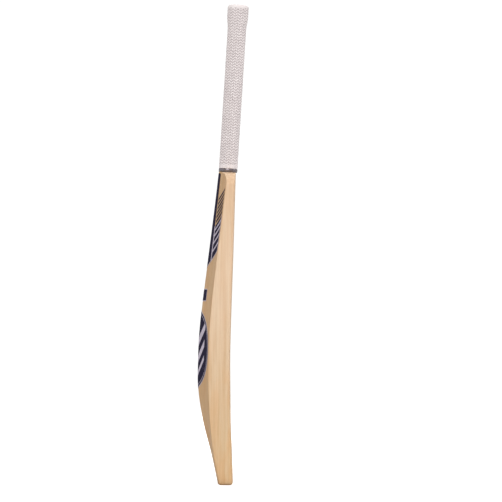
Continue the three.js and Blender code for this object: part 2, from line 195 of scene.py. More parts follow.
def blade_heights():
    """The heights of the outlines, closer together at the rounded corners of the toe and shoulders."""
    turns = [math.pi / 2 * i / TOE_STEPS for i in range(TOE_STEPS + 1)]
    heights = [TOE_CORNER_RADIUS * (1 - math.cos(turn)) for turn in turns]
    shoulder = BLADE_LENGTH - SHOULDER_DROP
    plain = math.ceil((shoulder - TOE_CORNER_RADIUS) / SECTION_SPACING)
    for i in range(1, plain + 1):
        heights.append(TOE_CORNER_RADIUS + (shoulder - TOE_CORNER_RADIUS) * i / plain)
    for i in range(1, SHOULDER_STEPS + 1):
        heights.append(shoulder + SHOULDER_DROP * math.sin(math.pi / 2 * i / SHOULDER_STEPS))
    return heights + [BLADE_LENGTH + NECK_OVERRUN]


def everything(bm):
    return bm.verts[:] + bm.edges[:] + bm.faces[:]


def only_verts(geom):
    return [part for part in geom if isinstance(part, bmesh.types.BMVert)]


def cut_away(bm, cutter_bm):
    """The model with the cutter's shape sawn out of it."""
    solids = []
    for label, model in (("kept", bm), ("cutter", cutter_bm)):
        mesh = bpy.data.meshes.new(label)
        model.to_mesh(mesh)
        model.free()
        solid = bpy.data.objects.new(label, mesh)
        bpy.context.scene.collection.objects.link(solid)
        solids.append(solid)
    saw = solids[0].modifiers.new("saw", "BOOLEAN")
    saw.operation, saw.solver, saw.object = "DIFFERENCE", "EXACT", solids[1]
    bpy.context.view_layer.update()
    sawn = solids[0].evaluated_get(bpy.context.evaluated_depsgraph_get())
    result = bmesh.new()
    result.from_mesh(sawn.to_mesh())
    sawn.to_mesh_clear()
    for solid in solids:
        mesh = solid.data
        bpy.data.objects.remove(solid)
        bpy.data.meshes.remove(mesh)
    return result


def piece_from(bm, name, *finishes, crease=38):
    """A finished piece in metres, smooth except along edges that turn by more than the crease."""
    bmesh.ops.recalc_face_normals(bm, faces=bm.faces)
    bmesh.ops.scale(bm, vec=(MM, MM, MM), verts=bm.verts)
    for face in bm.faces:
        face.smooth = True
    for edge in bm.edges:
        edge.smooth = edge.calc_face_angle(0) < math.radians(crease)
    mesh = bpy.data.meshes.new(name)
    bm.to_mesh(mesh)
    bm.free()
    for finish in finishes:
        mesh.materials.append(finish)
    piece = bpy.data.objects.new(name, mesh)
    bpy.context.scene.collection.objects.link(piece)
    return piece


def carve_blade():
    """Level outlines joined up from the toe to the neck, closed at both ends, and cut off square to
    the handle."""
    heights = blade_heights()
    outlines = [blade_outline(height) for height in heights]
    around, levels = len(outlines[0]), len(heights) - 1
    bm = bmesh.new()
    bmesh.ops.create_grid(bm, x_segments=around, y_segments=levels, size=0.5)
    for vert in bm.verts:
        level = round((vert.co.y + 0.5) * levels)
        x, y = outlines[level][round((vert.co.x + 0.5) * around) % around]
        vert.co = (x, y, heights[level])
    bmesh.ops.remove_doubles(bm, verts=bm.verts, dist=0.001)
    ends = bmesh.ops.holes_fill(bm, edges=bm.edges, sides=0)["faces"]
    bmesh.ops.recalc_face_normals(bm, faces=bm.faces)
    bmesh.ops.triangulate(bm, faces=ends)
    top = bmesh.ops.bisect_plane(
        bm,
        geom=everything(bm),
        plane_co=HANDLE_PLACE.translation,
        plane_no=HANDLE_PLACE.to_3x3() @ Vector((0, 0, 1)),
        clear_outer=True,
    )["geom_cut"]
    rim = [edge for edge in top if isinstance(edge, bmesh.types.BMEdge)]
    bmesh.ops.triangle_fill(bm, use_beauty=True, edges=rim)
    bmesh.ops.recalc_face_normals(bm, faces=bm.faces)
    return bm


def splice_cutter():
    """The V of the splice with its glue, as a wedge through the blade from face to back."""
    half = HANDLE_RADIUS + GLUE_GAP
    tip = SPLICE_TIP_WIDTH / 2 + GLUE_GAP
    right = [(tip, -SPLICE_DEPTH - GLUE_GAP), (half, -SPLICE_PARALLEL), (half, SAW_OVERRUN)]
    bm = bmesh.new()
    corners = [bm.verts.new((x, -BLADE_WIDTH, z)) for x, z in right]
    corners += [bm.verts.new((-x, -BLADE_WIDTH, z)) for x, z in reversed(right)]
    side = bm.faces.new(corners)
    far = only_verts(bmesh.ops.extrude_face_region(bm, geom=[side])["geom"])
    bmesh.ops.translate(bm, vec=(0, 2 * BLADE_WIDTH, 0), verts=far)
    bmesh.ops.recalc_face_normals(bm, faces=bm.faces)
    bmesh.ops.transform(bm, matrix=HANDLE_PLACE, verts=bm.verts)
    return bm


def fill(tree, inputs, values):
    """Sets each input to a number or a colour, or links it to what changes over the surface."""
    for name, value in values.items():
        if isinstance(value, bpy.types.NodeSocket):
            tree.links.new(value, inputs[name])
        else:
            inputs[name].default_value = value


def spaced(values):
    """The values under their sockets' own names, which have spaces for underscores."""
    return {name.replace("_", " "): value for name, value in values.items()}


def add(tree, kind, values=None, **settings):
    """A node of a kind, with its settings and the values of its inputs."""
    made = tree.nodes.new(kind)
    for name, value in settings.items():
        setattr(made, name, value)
    fill(tree, made.inputs, values or {})
    return made


def sums(tree, operation, a, b=0.0):
    """The result of one sum on two numbers or sockets."""
    return add(tree, "ShaderNodeMath", {0: a, 1: b}, operation=operation).outputs[0]


def times(tree, a, b):
    return sums(tree, "MULTIPLY", a, b)


def stretched(tree, place, scale):
    """Coordinates multiplied along each axis, so that a pattern is drawn out along the bat."""
    return add(tree, "ShaderNodeVectorMath", {0: place, 1: scale}, operation="MULTIPLY").outputs[0]


def scaled(tree, place, factor):
    """Coordinates multiplied by one number along all three axes."""
    return add(tree, "ShaderNodeVectorMath", {0: place, 3: factor}, operation="SCALE").outputs[0]


def noise(tree, place, scale, detail=2.0, roughness=0.5, stretch=(1, 1, 1)):
    """Cloudy noise, as a value round a half. A scale of 100 gives clouds about a centimetre wide."""
    drawn = stretched(tree, place, stretch)
    values = {"Vector": drawn, "Scale": scale, "Detail": detail, "Roughness": roughness}
    return add(tree, "ShaderNodeTexNoise", values).outputs["Fac"]


def spread(tree, value, low, high, to_low=0.0, to_high=1.0):
    """A value brought from one range to another, and held inside it."""
    values = {"Value": value, "From Min": low, "From Max": high, "To Min": to_low, "To Max": to_high}
    return add(tree, "ShaderNodeMapRange", values).outputs["Result"]


def blend(tree, share, a, b, kind="MIX"):
    """Two colours mixed by a share that changes over the surface."""
    made = add(tree, "ShaderNodeMix", {0: share, 6: a, 7: b}, data_type="RGBA", blend_type=kind)
    return made.outputs[2]


def bumped(tree, height, strength, distance):
    """The normals of fine relief that is too small to model."""
    values = {"Height": height, "Strength": strength, "Distance": distance}
    return add(tree, "ShaderNodeBump", values).outputs["Normal"]


def material(name):
    """An empty material with its shader, and the coordinates of the piece in metres."""
    made = bpy.data.materials.new(name)
    made.use_nodes = True
    tree = made.node_tree
    shader = tree.nodes["Principled BSDF"]
    place = tree.nodes.new("ShaderNodeTexCoord").outputs["Object"]
    return made, tree, shader, place


def feed(tree, shader, **values):
    fill(tree, shader.inputs, spaced(values))


def new_group(name, inputs, outputs):
    group = bpy.data.node_groups.new(name, "ShaderNodeTree")
    for label, kind in inputs:
        group.interface.new_socket(label, in_out="INPUT", socket_type="NodeSocket" + kind)
    for label, kind in outputs:
        group.interface.new_socket(label, in_out="OUTPUT", socket_type="NodeSocket" + kind)
    return group, group.nodes.new("NodeGroupInput").outputs, group.nodes.new("NodeGroupOutput").inputs


def use_group(tree, group, **values):
    return add(tree, "ShaderNodeGroup", spaced(values), node_tree=group).outputs


RING_BOW = 1.6
RING_UNEVENNESS = 1.3
LATE_WOOD_SHARPNESS = 4.5
LATE_WOOD_DEPTH = 0.25
FIBRE_STRETCH = (1, 1, 0.018)
PORE_STRETCH = (1, 1, 0.035)
SCRATCH_STRETCH = (1, 1, 0.12)


def grain_group():
    """Timber that grew along the bat: growth rings spaced across it, long fibres, and pores."""
    group, given, result = new_group(
        "long_grain",
        (("Place", "Vector"), ("Ring Spacing", "Float"), ("Wander", "Float"), ("Fibres", "Float")),
        (("Rings", "Float"), ("Fibre", "Float"), ("Pores", "Float"), ("Height", "Float")),
    )
    place = given["Place"]
    axes = add(group, "ShaderNodeSeparateXYZ", {0: place}).outputs
    drift = noise(group, place, scale=7, detail=3, roughness=0.45, stretch=(1, 1, 0.22))
    wandering = times(group, sums(group, "SUBTRACT", drift, 0.5), given["Wander"])
    bowed = times(group, times(group, axes[1], axes[1]), RING_BOW)
    across = sums(group, "ADD", sums(group, "ADD", axes[0], bowed), wandering)
    count = sums(group, "DIVIDE", across, given["Ring Spacing"])
    uneven = add(group, "ShaderNodeTexNoise", {"W": count, "Scale": 0.55}, noise_dimensions="1D")
    count = sums(group, "ADD", count, times(group, uneven.outputs["Fac"], RING_UNEVENNESS))
    late = sums(group, "POWER", sums(group, "FRACT", count), LATE_WOOD_SHARPNESS)
    strength = noise(group, place, scale=16, stretch=(1, 1, 0.1))
    rings = times(group, late, spread(group, strength, 0.3, 0.65, 0.45, 1.0))
    fine = scaled(group, stretched(group, place, FIBRE_STRETCH), given["Fibres"])
    threads = {"Vector": fine, "Scale": 1.0, "Detail": 4.0, "Roughness": 0.62}
    fibre = add(group, "ShaderNodeTexNoise", threads).outputs["Fac"]
    speck = noise(group, place, scale=2600, detail=1, roughness=0.4, stretch=PORE_STRETCH)
    pores = spread(group, speck, 0.66, 0.78)
    sunk = sums(group, "SUBTRACT", fibre, times(group, rings, LATE_WOOD_DEPTH))
    height = sums(group, "SUBTRACT", sunk, pores)
    for label, socket in (("Rings", rings), ("Fibre", fibre), ("Pores", pores), ("Height", height)):
        group.links.new(socket, result[label])
    return group


def scuff_group():
    """Handling marks: blotches where a finish has dulled, and short fine scratches across it."""
    group, given, result = new_group(
        "handling",
        (("Place", "Vector"), ("Size", "Float")),
        (("Blotches", "Float"), ("Scratches", "Float")),
    )
    sized = scaled(group, given["Place"], given["Size"])
    blotches = spread(group, noise(group, sized, scale=1, detail=4, roughness=0.6), 0.35, 0.7)
    warp = add(group, "ShaderNodeTexNoise", {"Vector": sized, "Scale": 0.8, "Detail": 1.0})
    shift = {0: sized, 1: warp.outputs["Color"]}
    bent = add(group, "ShaderNodeVectorMath", shift, operation="ADD").outputs[0]
    streak = noise(group, bent, scale=7, stretch=SCRATCH_STRETCH)
    scratches = spread(group, streak, 0.69, 0.76)
    group.links.new(blotches, result["Blotches"])
    group.links.new(scratches, result["Scratches"])
    return group


long_grain = grain_group()
handling = scuff_group()

WILLOW_PALE = (0.82, 0.618, 0.43, 1)
WILLOW_TAN = (0.69, 0.475, 0.29, 1)
WILLOW_PINK = (0.86, 0.60, 0.42, 1)
WILLOW_RING = (0.50, 0.30, 0.16, 1)
WILLOW_PORE = (0.42, 0.26, 0.14, 1)
WILLOW_SCRATCH = (0.36, 0.24, 0.15, 1)
# the wood's colour is multiplied by these, in streaks, near the toe, in warm patches, and on the back
# as painted shade
STREAK_TINT = (0.93, 0.86, 0.78, 1)
TOE_TINT = (0.915, 0.88, 0.76, 1)
BLUSH_TINT = (1.01, 0.925, 0.84, 1)
BACK_PAINTED_SHADE = (0.79, 0.705, 0.575, 1)


def willow_material():
    made, tree, shader, place = material("oiled_willow")
    normal = tree.nodes["Texture Coordinate"].outputs["Normal"]
    facing = add(tree, "ShaderNodeSeparateXYZ", {0: normal}).outputs
    grain = use_group(tree, long_grain, Place=place, Ring_Spacing=0.0085, Wander=0.011, Fibres=620.0)
    marks = use_group(tree, handling, Place=place, Size=22.0)
    axes = add(tree, "ShaderNodeSeparateXYZ", {0: place}).outputs
    fibres = spread(tree, grain["Fibre"], 0.36, 0.7, to_high=0.62)
    body = blend(tree, fibres, WILLOW_PALE, WILLOW_TAN)
    clouds = noise(tree, place, scale=14, detail=3, stretch=(1, 1, 0.25))
    body = blend(tree, spread(tree, clouds, 0.42, 0.68, to_high=0.34), body, WILLOW_PINK)
    body = blend(tree, times(tree, grain["Rings"], 0.42), body, WILLOW_RING)
    body = blend(tree, times(tree, grain["Pores"], 0.25), body, WILLOW_PORE)
    streaks = noise(tree, place, scale=150, stretch=(1, 1, 0.045))
    streaked = spread(tree, streaks, 0.40, 0.62, to_high=0.8)
    body = blend(tree, streaked, body, STREAK_TINT, "MULTIPLY")
    toe = spread(tree, axes[2], 0.30, 0.06)
    body = blend(tree, toe, body, TOE_TINT, "MULTIPLY")
    warm = noise(tree, place, scale=42, detail=3, stretch=(1, 1, 0.3))
    low_down = spread(tree, axes[2], 0.32, 0.08, 0.25, 1.0)
    blushed = times(tree, spread(tree, warm, 0.47, 0.6), low_down)
    body = blend(tree, blushed, body, BLUSH_TINT, "MULTIPLY")
    # painted shade: the surfaces that face the back of the bat are darkened
    back = spread(tree, facing[1], 0.55, 0.85)
    body = blend(tree, back, body, BACK_PAINTED_SHADE, "MULTIPLY")
    body = blend(tree, times(tree, marks["Scratches"], 0.08), body, WILLOW_SCRATCH)
    dull = spread(tree, grain["Fibre"], 0.3, 0.7, 0.40, 0.52)
    dull = sums(tree, "ADD", dull, times(tree, marks["Blotches"], 0.09))
    feed(
        tree,
        shader,
        Base_Color=body,
        Roughness=dull,
        Specular_IOR_Level=0.3,
        Normal=bumped(tree, grain["Height"], strength=0.16, distance=0.0004),
    )
    return made


willow = willow_material()
blade = piece_from(cut_away(carve_blade(), splice_cutter()), "willow_blade", willow)
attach(blade, "root")
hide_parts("blade")

# ---- Cane handle ----
# Twelve lengths of split cane, three to a slab and four slabs, glued up and turned round above
# the blade. Below, they are sawn to the wedge that is glued into the blade.

CANE_STRAW = (0.66, 0.45, 0.20, 1)
CANE_BROWN = (0.46, 0.27, 0.10, 1)
CANE_RING = (0.34, 0.19, 0.07, 1)
CANE_VESSEL = (0.20, 0.11, 0.04, 1)


def cane_material():
    made, tree, shader, place = material("split_cane")
    grain = use_group(tree, long_grain, Place=place, Ring_Spacing=0.0031, Wander=0.002, Fibres=1500.0)
    fibres = spread(tree, grain["Fibre"], 0.35, 0.66, to_high=0.8)
    body = blend(tree, fibres, CANE_STRAW, CANE_BROWN)
    body = blend(tree, times(tree, grain["Rings"], 0.3), body, CANE_RING)
    drawn = stretched(tree, place, (1, 1, 0.02))
    vessels = add(tree, "ShaderNodeTexVoronoi", {"Vector": drawn, "Scale": 1300.0})
    pricks = spread(tree, vessels.outputs["Distance"], 0.26, 0.12)
    body = blend(tree, times(tree, pricks, 0.55), body, CANE_VESSEL)
    feed(
        tree,
        shader,
        Base_Color=body,
        Roughness=spread(tree, grain["Fibre"], 0.3, 0.7, 0.48, 0.66),
        Specular_IOR_Level=0.4,
        Normal=bumped(tree, grain["Height"], strength=0.25, distance=0.0003),
    )
    return made


cane = cane_material()
for slab in ("face", "front", "rear", "back"):
    for column in ("left", "centre", "right"):
        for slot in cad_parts[f"cane_{slab}_{column}"].material_slots:
            slot.material = cane

# ---- Rubber springs ----
# Three strips of sheet rubber glued between the slabs of cane, running the length of the handle
# and down into the splice. They take the sting out of the stroke.

RUBBER_BLACK = (0.022, 0.021, 0.02, 1)
RUBBER_CHALKED = (0.055, 0.052, 0.048, 1)
RUBBER_WORN = (0.08, 0.074, 0.066, 1)


def spring_material():
    made, tree, shader, place = material("sheet_rubber")
    marks = use_group(tree, handling, Place=place, Size=60.0)
    chalk = noise(tree, place, scale=420, detail=3, roughness=0.6)
    body = blend(tree, spread(tree, chalk, 0.4, 0.7, to_high=0.7), RUBBER_BLACK, RUBBER_CHALKED)
    body = blend(tree, times(tree, marks["Blotches"], 0.4), body, RUBBER_WORN)
    feed(
        tree,
        shader,
        Base_Color=body,
        Roughness=spread(tree, chalk, 0.3, 0.7, 0.62, 0.82),
        Specular_IOR_Level=0.35,
        Normal=bumped(tree, noise(tree, place, scale=1600), strength=0.2, distance=0.0002),
    )
    return made


spring_rubber = spring_material()
for layer in ("front", "middle", "rear"):
    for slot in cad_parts[f"spring_{layer}"].material_slots:
        slot.material = spring_rubber

# ---- Twine binding ----
# Waxed linen thread, wound round the whole handle in one close spiral and glued down, so that the
# slabs can't part.

TWINE_INNER = HANDLE_RADIUS + GLUE_GAP
TWINE_THICKNESS = 0.7
TWINE_FULLNESS = 0.98  # so that one turn lies close to the next without cutting into it
TWINE_SIDES = 5
TWINE_STEPS = 24  # to each turn
TWINE_FIRST_TURNS = 13
TWINE_DOUBLINGS = 5
TWINE_RAW = (0.70, 0.62, 0.47, 1)
TWINE_SHADED = (0.42, 0.34, 0.22, 1)
TWINE_WAXED = (0.78, 0.68, 0.46, 1)


def wind_twine():
    """A few turns of thread, doubled over and over until they cover the handle."""
    radius = TWINE_THICKNESS / 2
    foot = GLUE_GAP + radius
    start = Matrix.Translation((TWINE_INNER + radius, 0, foot)) @ Matrix.Rotation(math.pi / 2, 4, "X")
    bm = bmesh.new()
    thread = bmesh.ops.create_circle(
        bm, cap_ends=False, segments=TWINE_SIDES, radius=radius * TWINE_FULLNESS, matrix=start
    )["verts"]
    bmesh.ops.spin(
        bm,
        geom=thread + bm.edges[:],
        cent=(0, 0, 0),
        axis=(0, 0, 1),
        dvec=(0, 0, TWINE_THICKNESS / TWINE_STEPS),
        angle=2 * math.pi * TWINE_FIRST_TURNS,
        steps=TWINE_FIRST_TURNS * TWINE_STEPS,
        use_merge=False,
        use_duplicate=False,
    )
    length = TWINE_FIRST_TURNS * TWINE_THICKNESS
    for _ in range(TWINE_DOUBLINGS):
        copied = bmesh.ops.duplicate(bm, geom=everything(bm))["geom"]
        bmesh.ops.translate(bm, vec=(0, 0, length), verts=only_verts(copied))
        length *= 2
    bmesh.ops.remove_doubles(bm, verts=bm.verts, dist=0.01)
    bmesh.ops.holes_fill(bm, edges=[edge for edge in bm.edges if edge.is_boundary], sides=0)
    bmesh.ops.transform(bm, matrix=HANDLE_PLACE, verts=bm.verts)
    return bm


def twine_material():
    made, tree, shader, place = material("waxed_twine")
    strands = noise(tree, place, scale=900, detail=3, roughness=0.65, stretch=(1, 1, 2.2))
    wax = noise(tree, place, scale=45, detail=3)
    body = blend(tree, spread(tree, strands, 0.35, 0.7), TWINE_RAW, TWINE_SHADED)
    body = blend(tree, spread(tree, wax, 0.45, 0.7, to_high=0.5), body, TWINE_WAXED)
    feed(
        tree,
        shader,
        Base_Color=body,
        Roughness=spread(tree, wax, 0.3, 0.7, 0.78, 0.5),
        Specular_IOR_Level=0.4,
        Normal=bumped(tree, strands, strength=0.3, distance=0.0002),
    )
    return made


twine = piece_from(wind_twine(), "waxed_twine", twine_material(), crease=180)
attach(twine, "root")
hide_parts("twine_binding")

# ---- Band at the foot of the grip ----
# Shiny pewter-coloured tape, pulled tight round the foot of the grip in two overlapping turns so
# that the rubber can't roll up.

SLEEVE_INNER = 15.1
COLLAR_RADIUS = 16.9
COLLAR_FOOT = 0.3
COLLAR_HEIGHT = 6.5
COLLAR_ROUNDING = 0.7
COLLAR_STEPS = 120
COLLAR_PLAIN_SKIN = 0.5  # next to the grip, where nothing puckers
TAPE_THICKNESS = 0.22
LAP_SHARE = 0.42  # of the height, covered by the lower turn alone
LAP_BELOW = 0.2
LAP_ABOVE = 0.1
LAP_REACH = 0.5
LAP_SLANT = 0.18
LAP_TURN = 0.6
# depth, number round the band, and lean with height
TAPE_PUCKERS = ((0.05, 5, 0.4), (0.035, 11, -0.9))
PEWTER = (0.30, 0.265, 0.285, 1)
PEWTER_RIPPLE = (0.13, 0.11, 0.115, 1)
# painted shade for the lower turn of the band
PEWTER_PAINTED_SHADE = (0.10, 0.078, 0.07, 1)
PEWTER_SCRATCH = (0.62, 0.58, 0.58, 1)


def spun(profile, steps, rounded=(), rounding=0.0):
    """A sleeve spun round the handle's axis from a closed profile of radius and height. The corners
    named in rounded are bevelled first."""
    bm = bmesh.new()
    corners = [bm.verts.new((radius, 0, height)) for radius, height in profile]
    for a, b in zip(corners, corners[1:] + corners[:1]):
        bm.edges.new((a, b))
    if rounded:
        bmesh.ops.bevel(
            bm,
            geom=[corners[i] for i in rounded],
            offset=rounding,
            offset_type="OFFSET",
            segments=4,
            profile=0.5,
            affect="VERTICES",
            material=-1,
        )
    bmesh.ops.spin(
        bm,
        geom=bm.verts[:] + bm.edges[:],
        cent=(0, 0, 0),
        axis=(0, 0, 1),
        dvec=(0, 0, 0),
        angle=2 * math.pi,
        steps=steps,
        use_merge=True,
        use_duplicate=False,
    )
    return bm


def wrap_collar():
    top = COLLAR_FOOT + COLLAR_HEIGHT
    lap = COLLAR_FOOT + LAP_SHARE * COLLAR_HEIGHT
    under = COLLAR_RADIUS - TAPE_THICKNESS
    profile = [
        (SLEEVE_INNER, COLLAR_FOOT),
        (under, COLLAR_FOOT),
        (under, lap - LAP_BELOW),
        (COLLAR_RADIUS, lap + LAP_ABOVE),
        (COLLAR_RADIUS, top),
        (SLEEVE_INNER, top),
    ]
    bm = spun(profile, COLLAR_STEPS, rounded=(1, 4), rounding=COLLAR_ROUNDING)
    deepest = sum(depth for depth, count, lean in TAPE_PUCKERS)
    for vert in bm.verts:
        x, y, z = vert.co
        radius = math.hypot(x, y)
        if radius > SLEEVE_INNER + COLLAR_PLAIN_SKIN:
            turn = math.atan2(y, x)
            pull = sum(depth * math.sin(count * turn + lean * z) for depth, count, lean in TAPE_PUCKERS)
            slant = LAP_SLANT * math.sin(turn - LAP_TURN) if abs(z - lap) < LAP_REACH else 0
            share = 1 + (pull - deepest) / radius
            vert.co = (x * share, y * share, z + slant)
    bmesh.ops.transform(bm, matrix=HANDLE_PLACE, verts=bm.verts)
    return bm


def tape_material():
    made, tree, shader, place = material("pewter_tape")
    marks = use_group(tree, handling, Place=place, Size=120.0)
    ripple = noise(tree, place, scale=240, stretch=(1, 1, 0.5))
    axes = add(tree, "ShaderNodeSeparateXYZ", {0: place}).outputs
    # painted shade: the band is darkened from about its middle down to its foot
    painted_shade_low = spread(tree, axes[2], 0.5632, 0.5612)
    body = blend(tree, spread(tree, ripple, 0.35, 0.7, to_high=0.5), PEWTER, PEWTER_RIPPLE)
    body = blend(tree, times(tree, painted_shade_low, 0.55), body, PEWTER_PAINTED_SHADE)
    body = blend(tree, times(tree, marks["Scratches"], 0.35), body, PEWTER_SCRATCH)
    feed(
        tree,
        shader,
        Base_Color=body,
        Metallic=0.7,
        Roughness=spread(tree, marks["Blotches"], 0.0, 1.0, 0.2, 0.34),
        Normal=bumped(tree, ripple, strength=0.25, distance=0.0004),
    )
    return made


collar = piece_from(wrap_collar(), "tape_band", tape_material())
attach(collar, "root")
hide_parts("grip_collar")

# ---- Rubber grip ----
# A moulded sleeve of white rubber, rolled on over the binding. Its tread is rows of raised
# chevrons, its foot is a plain band, and its top end is thicker and closed but for a small hole.

GRIP_RADIUS = 16.8
GRIP_FOOT = 7.1
GRIP_TOP = 301.3
GRIP_PLAIN_SKIN = 0.8  # next to the binding, where there is no tread
FOOT_BEVEL_IN = 0.5
FOOT_BEVEL_UP = 0.6
KNOB_SWELL = 2.2
KNOB_LENGTH = 44
KNOB_END = 296.3
KNOB_CORNER_RADIUS = 6
KNOB_CORNER_STEPS = 8
KNOB_TOP_RADIUS = 9
KNOB_HOLE_RADIUS = 4
HOLE_LIP = ((0.8, 0), (0.2, 0.25), (0, 0.9))  # out from the hole, and down from the top
PLAIN_BAND = 5.5
TREAD_DEPTH = 0.9
TREAD_FOOT_FADE = 1.2
TREAD_TOP_MARGIN = 5.5
TREAD_TOP_FADE = 1.5
CHEVRON_PITCH = 4.9
CHEVRON_COLUMNS = 12
CHEVRON_SLOPE = 0.85
CHEVRON_FULLNESS = 0.86  # of the pitch, at the foot of a row
CHEVRON_FLANK = 0.42
NICK_WIDTH = 0.16  # at each bend of a row
NICK_HEIGHT = 0.35
STEPS_PER_PITCH = 7
STEPS_PER_COLUMN = 14
GRIP_WHITE = (0.86, 0.79, 0.78, 1)
GRIP_HANDLED = (0.79, 0.715, 0.71, 1)
# painted shade for the grooves of the tread
GRIP_GROOVE_SHADE = (0.40, 0.34, 0.34, 1)
GRIP_DIRT = (0.60, 0.52, 0.50, 1)


def eased(value):
    value = min(max(value, 0), 1)
    return value * value * (3 - 2 * value)


def tread_at(turn, height):
    """How far up the tread the rubber stands, from 0 in a groove to 1 on a chevron."""
    column = turn / (2 * math.pi) * CHEVRON_COLUMNS % 1
    arm = abs(column - 0.5) * 2
    width = 2 * math.pi * GRIP_RADIUS / CHEVRON_COLUMNS / 2
    phase = (height - CHEVRON_SLOPE * width * arm) / CHEVRON_PITCH % 1
    across = abs(phase - 0.5) * 2
    row = eased((CHEVRON_FULLNESS - across) / CHEVRON_FLANK)
    nick = eased(min(arm, 1 - arm) / NICK_WIDTH + NICK_HEIGHT)
    above_foot = eased((height - GRIP_FOOT - PLAIN_BAND) / TREAD_FOOT_FADE)
    inside = above_foot * eased((GRIP_TOP - TREAD_TOP_MARGIN - height) / TREAD_TOP_FADE)
    return row * nick * inside + (1 - inside)


def grip_wall():
    """The section of the sleeve, with its steps close enough together to carry the tread."""
    step = CHEVRON_PITCH / STEPS_PER_PITCH
    wall = [
        (SLEEVE_INNER, GRIP_FOOT),
        (GRIP_RADIUS - FOOT_BEVEL_IN, GRIP_FOOT),
        (GRIP_RADIUS, GRIP_FOOT + FOOT_BEVEL_UP),
    ]
    swell_start = GRIP_TOP - KNOB_LENGTH
    full_swell = swell_start + KNOB_LENGTH / 2
    corner_start = GRIP_TOP - KNOB_CORNER_RADIUS
    height = GRIP_FOOT + FOOT_BEVEL_UP + step
    while height < corner_start - step / 2:
        swell = KNOB_SWELL * eased((height - swell_start) / (full_swell - swell_start))
        wall.append((GRIP_RADIUS + swell, height))
        height += step
    for i in range(KNOB_CORNER_STEPS + 1):
        turn = math.pi / 2 * i / KNOB_CORNER_STEPS
        radius = GRIP_RADIUS + KNOB_SWELL - KNOB_CORNER_RADIUS * (1 - math.cos(turn))
        wall.append((radius, corner_start + KNOB_CORNER_RADIUS * math.sin(turn)))
    wall.append((KNOB_TOP_RADIUS, GRIP_TOP))
    wall += [(KNOB_HOLE_RADIUS + out, GRIP_TOP - down) for out, down in HOLE_LIP]
    return wall + [(KNOB_HOLE_RADIUS, KNOB_END), (SLEEVE_INNER, KNOB_END)]


def mould_grip():
    bm = spun(grip_wall(), CHEVRON_COLUMNS * STEPS_PER_COLUMN)
    tread = bm.verts.layers.float.new("tread")
    tread_start = GRIP_FOOT + FOOT_BEVEL_UP / 2
    for vert in bm.verts:
        x, y, z = vert.co
        radius = math.hypot(x, y)
        vert[tread] = 1.0
        if radius > SLEEVE_INNER + GRIP_PLAIN_SKIN and z > tread_start:
            vert[tread] = tread_at(math.atan2(y, x), z)
            share = 1 - TREAD_DEPTH * (1 - vert[tread]) / radius
            vert.co = (x * share, y * share, z)
    bmesh.ops.transform(bm, matrix=HANDLE_PLACE, verts=bm.verts)
    return bm


def grip_material():
    made, tree, shader, place = material("white_grip_rubber")
    tread = add(tree, "ShaderNodeAttribute", attribute_name="tread").outputs["Fac"]
    marks = use_group(tree, handling, Place=place, Size=34.0)
    bloom = noise(tree, place, scale=60, detail=3, roughness=0.55)
    fine = noise(tree, place, scale=2400)
    body = blend(tree, spread(tree, bloom, 0.38, 0.66), GRIP_WHITE, GRIP_HANDLED)
    # painted shade: the rubber is darkened where the tread sinks into a groove
    body = blend(tree, spread(tree, tread, 0.75, 0.0, to_high=0.85), body, GRIP_GROOVE_SHADE)
    body = blend(tree, times(tree, marks["Blotches"], 0.12), body, GRIP_DIRT)
    feed(
        tree,
        shader,
        Base_Color=body,
        Roughness=spread(tree, bloom, 0.3, 0.7, 0.52, 0.66),
        Specular_IOR_Level=0.38,
        Normal=bumped(tree, fine, strength=0.12, distance=0.0002),
    )
    return made


grip = piece_from(mould_grip(), "chevron_grip", grip_material(), crease=60)
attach(grip, "root")
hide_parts("rubber_grip")

# ---- Printed labels ----
# Three thin films rubbed down on the back of the blade, each printed in navy and silver: a fan of
# stripes below the shoulders, a small bar, and a pointed oval over the swell.

LABEL_LIFT = 0.3
LABEL_THICKNESS = 0.12
LABEL_CELL_WIDTH = 1.5
LABEL_CELL_HEIGHT = 4
NAVY, SILVER, BARE = 0, 1, 2


def score(bm, x, z, angle):
    """Cuts a flat label along a line through a point, at an angle above level."""
    bmesh.ops.bisect_plane(
        bm,
        geom=everything(bm),
        plane_co=(x, 0, z),
        plane_no=(-math.sin(angle), 0, math.cos(angle)),
    )


def flat_label(outline):
    """A label lying flat, as one face from its outline of x and z."""
    bm = bmesh.new()
    bm.faces.layers.int.new("bordered")
    bm.faces.new([bm.verts.new((x, 0, z)) for x, z in outline])
    bm.normal_update()
    return bm


def border(bm, width, ink):
    """A line of ink of even width inside the outline of what is left plain."""
    bordered = bm.faces.layers.int["bordered"]
    plain = [face for face in bm.faces if not face[bordered]]
    ring = bmesh.ops.inset_region(
        bm, faces=plain, thickness=width, use_boundary=True, use_even_offset=True
    )["faces"]
    for face in ring:
        face[bordered] = 1
        face.material_index = ink


def keep_right_half(bm):
    bmesh.ops.bisect_plane(
        bm, geom=everything(bm), plane_co=(0, 0, 0), plane_no=(-1, 0, 0), clear_outer=True
    )


def ink_plain(bm, ink_at):
    """Gives every face that isn't part of a border its ink, and takes away bare ones."""
    bordered = bm.faces.layers.int["bordered"]
    for face in bm.faces:
        middle = face.calc_center_median()
        if not face[bordered]:
            face.material_index = ink_at(middle.x, middle.z)
    bare = [face for face in bm.faces if face.material_index == BARE]
    bmesh.ops.delete(bm, geom=bare, context="FACES")


